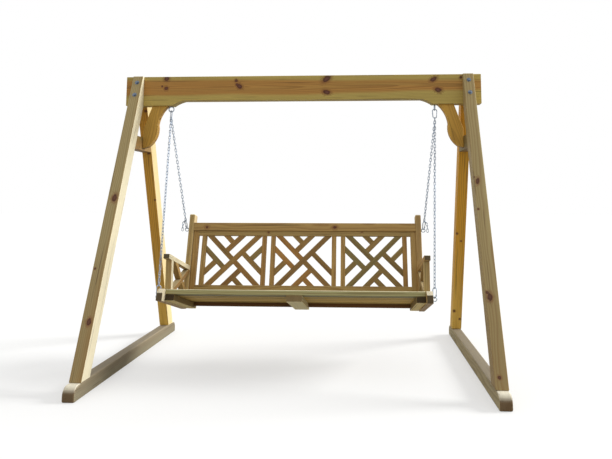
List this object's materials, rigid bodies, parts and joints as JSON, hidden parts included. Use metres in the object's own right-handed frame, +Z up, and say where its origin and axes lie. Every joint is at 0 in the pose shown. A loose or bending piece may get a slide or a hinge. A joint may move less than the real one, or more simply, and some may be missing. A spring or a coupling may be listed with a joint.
{
  "type": "garden swing",
  "caption": "Timber garden swing: an A-frame with an arched beam carries a slatted bench with arm rests and a lattice back on chains.",
  "frame": {"origin": "on the ground under the middle of the beam", "axes": "+X along the beam, to the right as seen from the front; +Y to the rear; +Z up"},
  "size_m": [2.308, 1.532, 1.8],
  "materials": {
    "treated_pine": "planed, pressure treated, unvarnished",
    "weathered_pine": "planed, pressure treated, weathered",
    "lattice_pine": "planed, pressure treated, unvarnished",
    "galvanised_steel": "zinc plated"
  },
  "bodies": {
    "standing_frame": {"brace_screws": "galvanised_steel", "collar_tie_left": "treated_pine", "collar_tie_right": "treated_pine", "eye_screw_left": "galvanised_steel", "eye_screw_right": "galvanised_steel", "foot_rail_left": "weathered_pine", "foot_rail_right": "weathered_pine", "front_leg_left": "treated_pine", "front_leg_right": "treated_pine", "knee_brace_left": "treated_pine", "knee_brace_right": "treated_pine", "leg_screws": "galvanised_steel", "leg_washers": "galvanised_steel", "rear_leg_left": "treated_pine", "rear_leg_right": "treated_pine", "tie_screws": "galvanised_steel", "top_beam": "treated_pine"},
    "swing_bench": {"arm_brace_left": "treated_pine", "arm_brace_right": "treated_pine", "arm_post_left": "treated_pine", "arm_post_right": "treated_pine", "arm_rest_left": "treated_pine", "arm_rest_right": "treated_pine", "back_bottom_rail": "treated_pine", "back_post_left": "treated_pine", "back_post_right": "treated_pine", "back_stile_left": "treated_pine", "back_stile_right": "treated_pine", "back_top_rail": "treated_pine", "bench_screws": "galvanised_steel", "front_chain_left": "galvanised_steel", "front_chain_right": "galvanised_steel", "front_eyes": "galvanised_steel", "joining_ring": "galvanised_steel", "lattice_left": "lattice_pine", "lattice_middle": "lattice_pine", "lattice_right": "lattice_pine", "lattice_top_rail": "treated_pine", "panel_stiles": "treated_pine", "rear_chain_left": "galvanised_steel", "rear_chain_right": "galvanised_steel", "rear_eyes": "galvanised_steel", "seat_bearer_left": "treated_pine", "seat_bearer_middle": "treated_pine", "seat_bearer_right": "treated_pine", "seat_front_slat": "treated_pine", "seat_rear_rails": "treated_pine", "seat_slats": "treated_pine", "side_rail_left": "treated_pine", "side_rail_right": "treated_pine", "side_screws": "galvanised_steel", "slat_screws": "galvanised_steel", "snap_hooks": "galvanised_steel"},
    "hook_gate_front_left_body": {"hook_gate_front_left": "galvanised_steel"},
    "hook_gate_front_right_body": {"hook_gate_front_right": "galvanised_steel"},
    "hook_gate_rear_left_body": {"hook_gate_rear_left": "galvanised_steel"},
    "hook_gate_rear_right_body": {"hook_gate_rear_right": "galvanised_steel"},
    "hook_gate_top_left_body": {"hook_gate_top_left": "galvanised_steel"},
    "hook_gate_top_right_body": {"hook_gate_top_right": "galvanised_steel"}
  },
  "joints": [
    {"name": "bench_swing", "type": "hinge", "parent": "standing_frame", "child": "swing_bench", "pos_m": [0, 0, 1.57455], "axis": [1, 0, 0], "range_deg": [-20, 20]},
    {"name": "gate_front_left_hinge", "type": "hinge", "parent": "swing_bench", "child": "hook_gate_front_left_body", "pos_m": [-0.80815, -0.30232, 0.45983], "axis": [-0.7649, 0.6094, -0.2086], "range_deg": [0, 15], "stiffness_Nm_per_rad": 0.05, "springref_deg": -20.05},
    {"name": "gate_front_right_hinge", "type": "hinge", "parent": "swing_bench", "child": "hook_gate_front_right_body", "pos_m": [0.80818, -0.30221, 0.45984], "axis": [-0.7649, -0.6081, 0.2124], "range_deg": [0, 15], "stiffness_Nm_per_rad": 0.05, "springref_deg": -20.05},
    {"name": "gate_rear_left_hinge", "type": "hinge", "parent": "swing_bench", "child": "hook_gate_rear_left_body", "pos_m": [-0.80867, 0.22162, 0.81668], "axis": [0.7636, 0.5992, 0.2404], "range_deg": [0, 15], "stiffness_Nm_per_rad": 0.05, "springref_deg": -20.05},
    {"name": "gate_rear_right_hinge", "type": "hinge", "parent": "swing_bench", "child": "hook_gate_rear_right_body", "pos_m": [0.80871, 0.22145, 0.81668], "axis": [0.7635, -0.5967, -0.2469], "range_deg": [0, 15], "stiffness_Nm_per_rad": 0.05, "springref_deg": -20.05},
    {"name": "gate_top_left_hinge", "type": "hinge", "parent": "swing_bench", "child": "hook_gate_top_left_body", "pos_m": [-0.86, -0.01177, 1.5347], "axis": [-1, 0, 0], "range_deg": [0, 15], "stiffness_Nm_per_rad": 0.05, "springref_deg": -20.05},
    {"name": "gate_top_right_hinge", "type": "hinge", "parent": "swing_bench", "child": "hook_gate_top_right_body", "pos_m": [0.87177, 0, 1.5347], "axis": [0, -1, 0], "range_deg": [0, 15], "stiffness_Nm_per_rad": 0.05, "springref_deg": -20.05}
  ]
}
